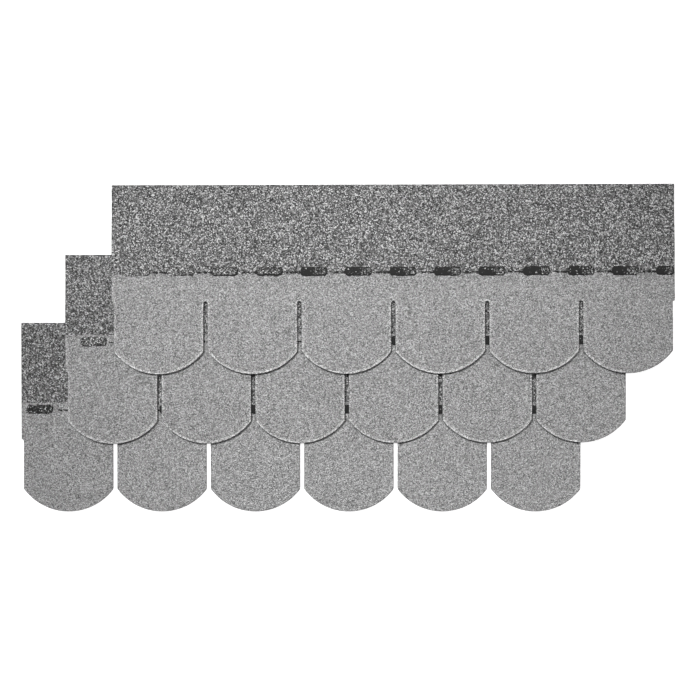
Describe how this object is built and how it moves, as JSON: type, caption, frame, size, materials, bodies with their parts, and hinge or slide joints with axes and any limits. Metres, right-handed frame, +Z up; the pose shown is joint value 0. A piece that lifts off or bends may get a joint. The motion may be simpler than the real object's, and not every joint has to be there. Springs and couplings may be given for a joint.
{
  "type": "asphalt shingle bundle",
  "caption": "Round-tab asphalt shingle strips with a grey granule face, fanned one over another in laid offset, with rows of bitumen seal dabs.",
  "frame": {"origin": "under the middle of the whole fan of strips, on the floor", "axes": "+X along the strips, +Y from the tab tips up to the headlap, +Z up, out of the granule face"},
  "size_m": [1.1622, 0.5831, 0.0102],
  "materials": {
    "granule_face": "matte",
    "seal_bitumen": "gloss"
  },
  "bodies": {
    "root": {"lower_shingle": "granule_face", "middle_shingle": "granule_face", "upper_shingle": "granule_face", "lower_seal_dabs": "seal_bitumen", "middle_seal_dabs": "seal_bitumen", "upper_seal_dabs": "seal_bitumen"}
  },
  "joints": []
}
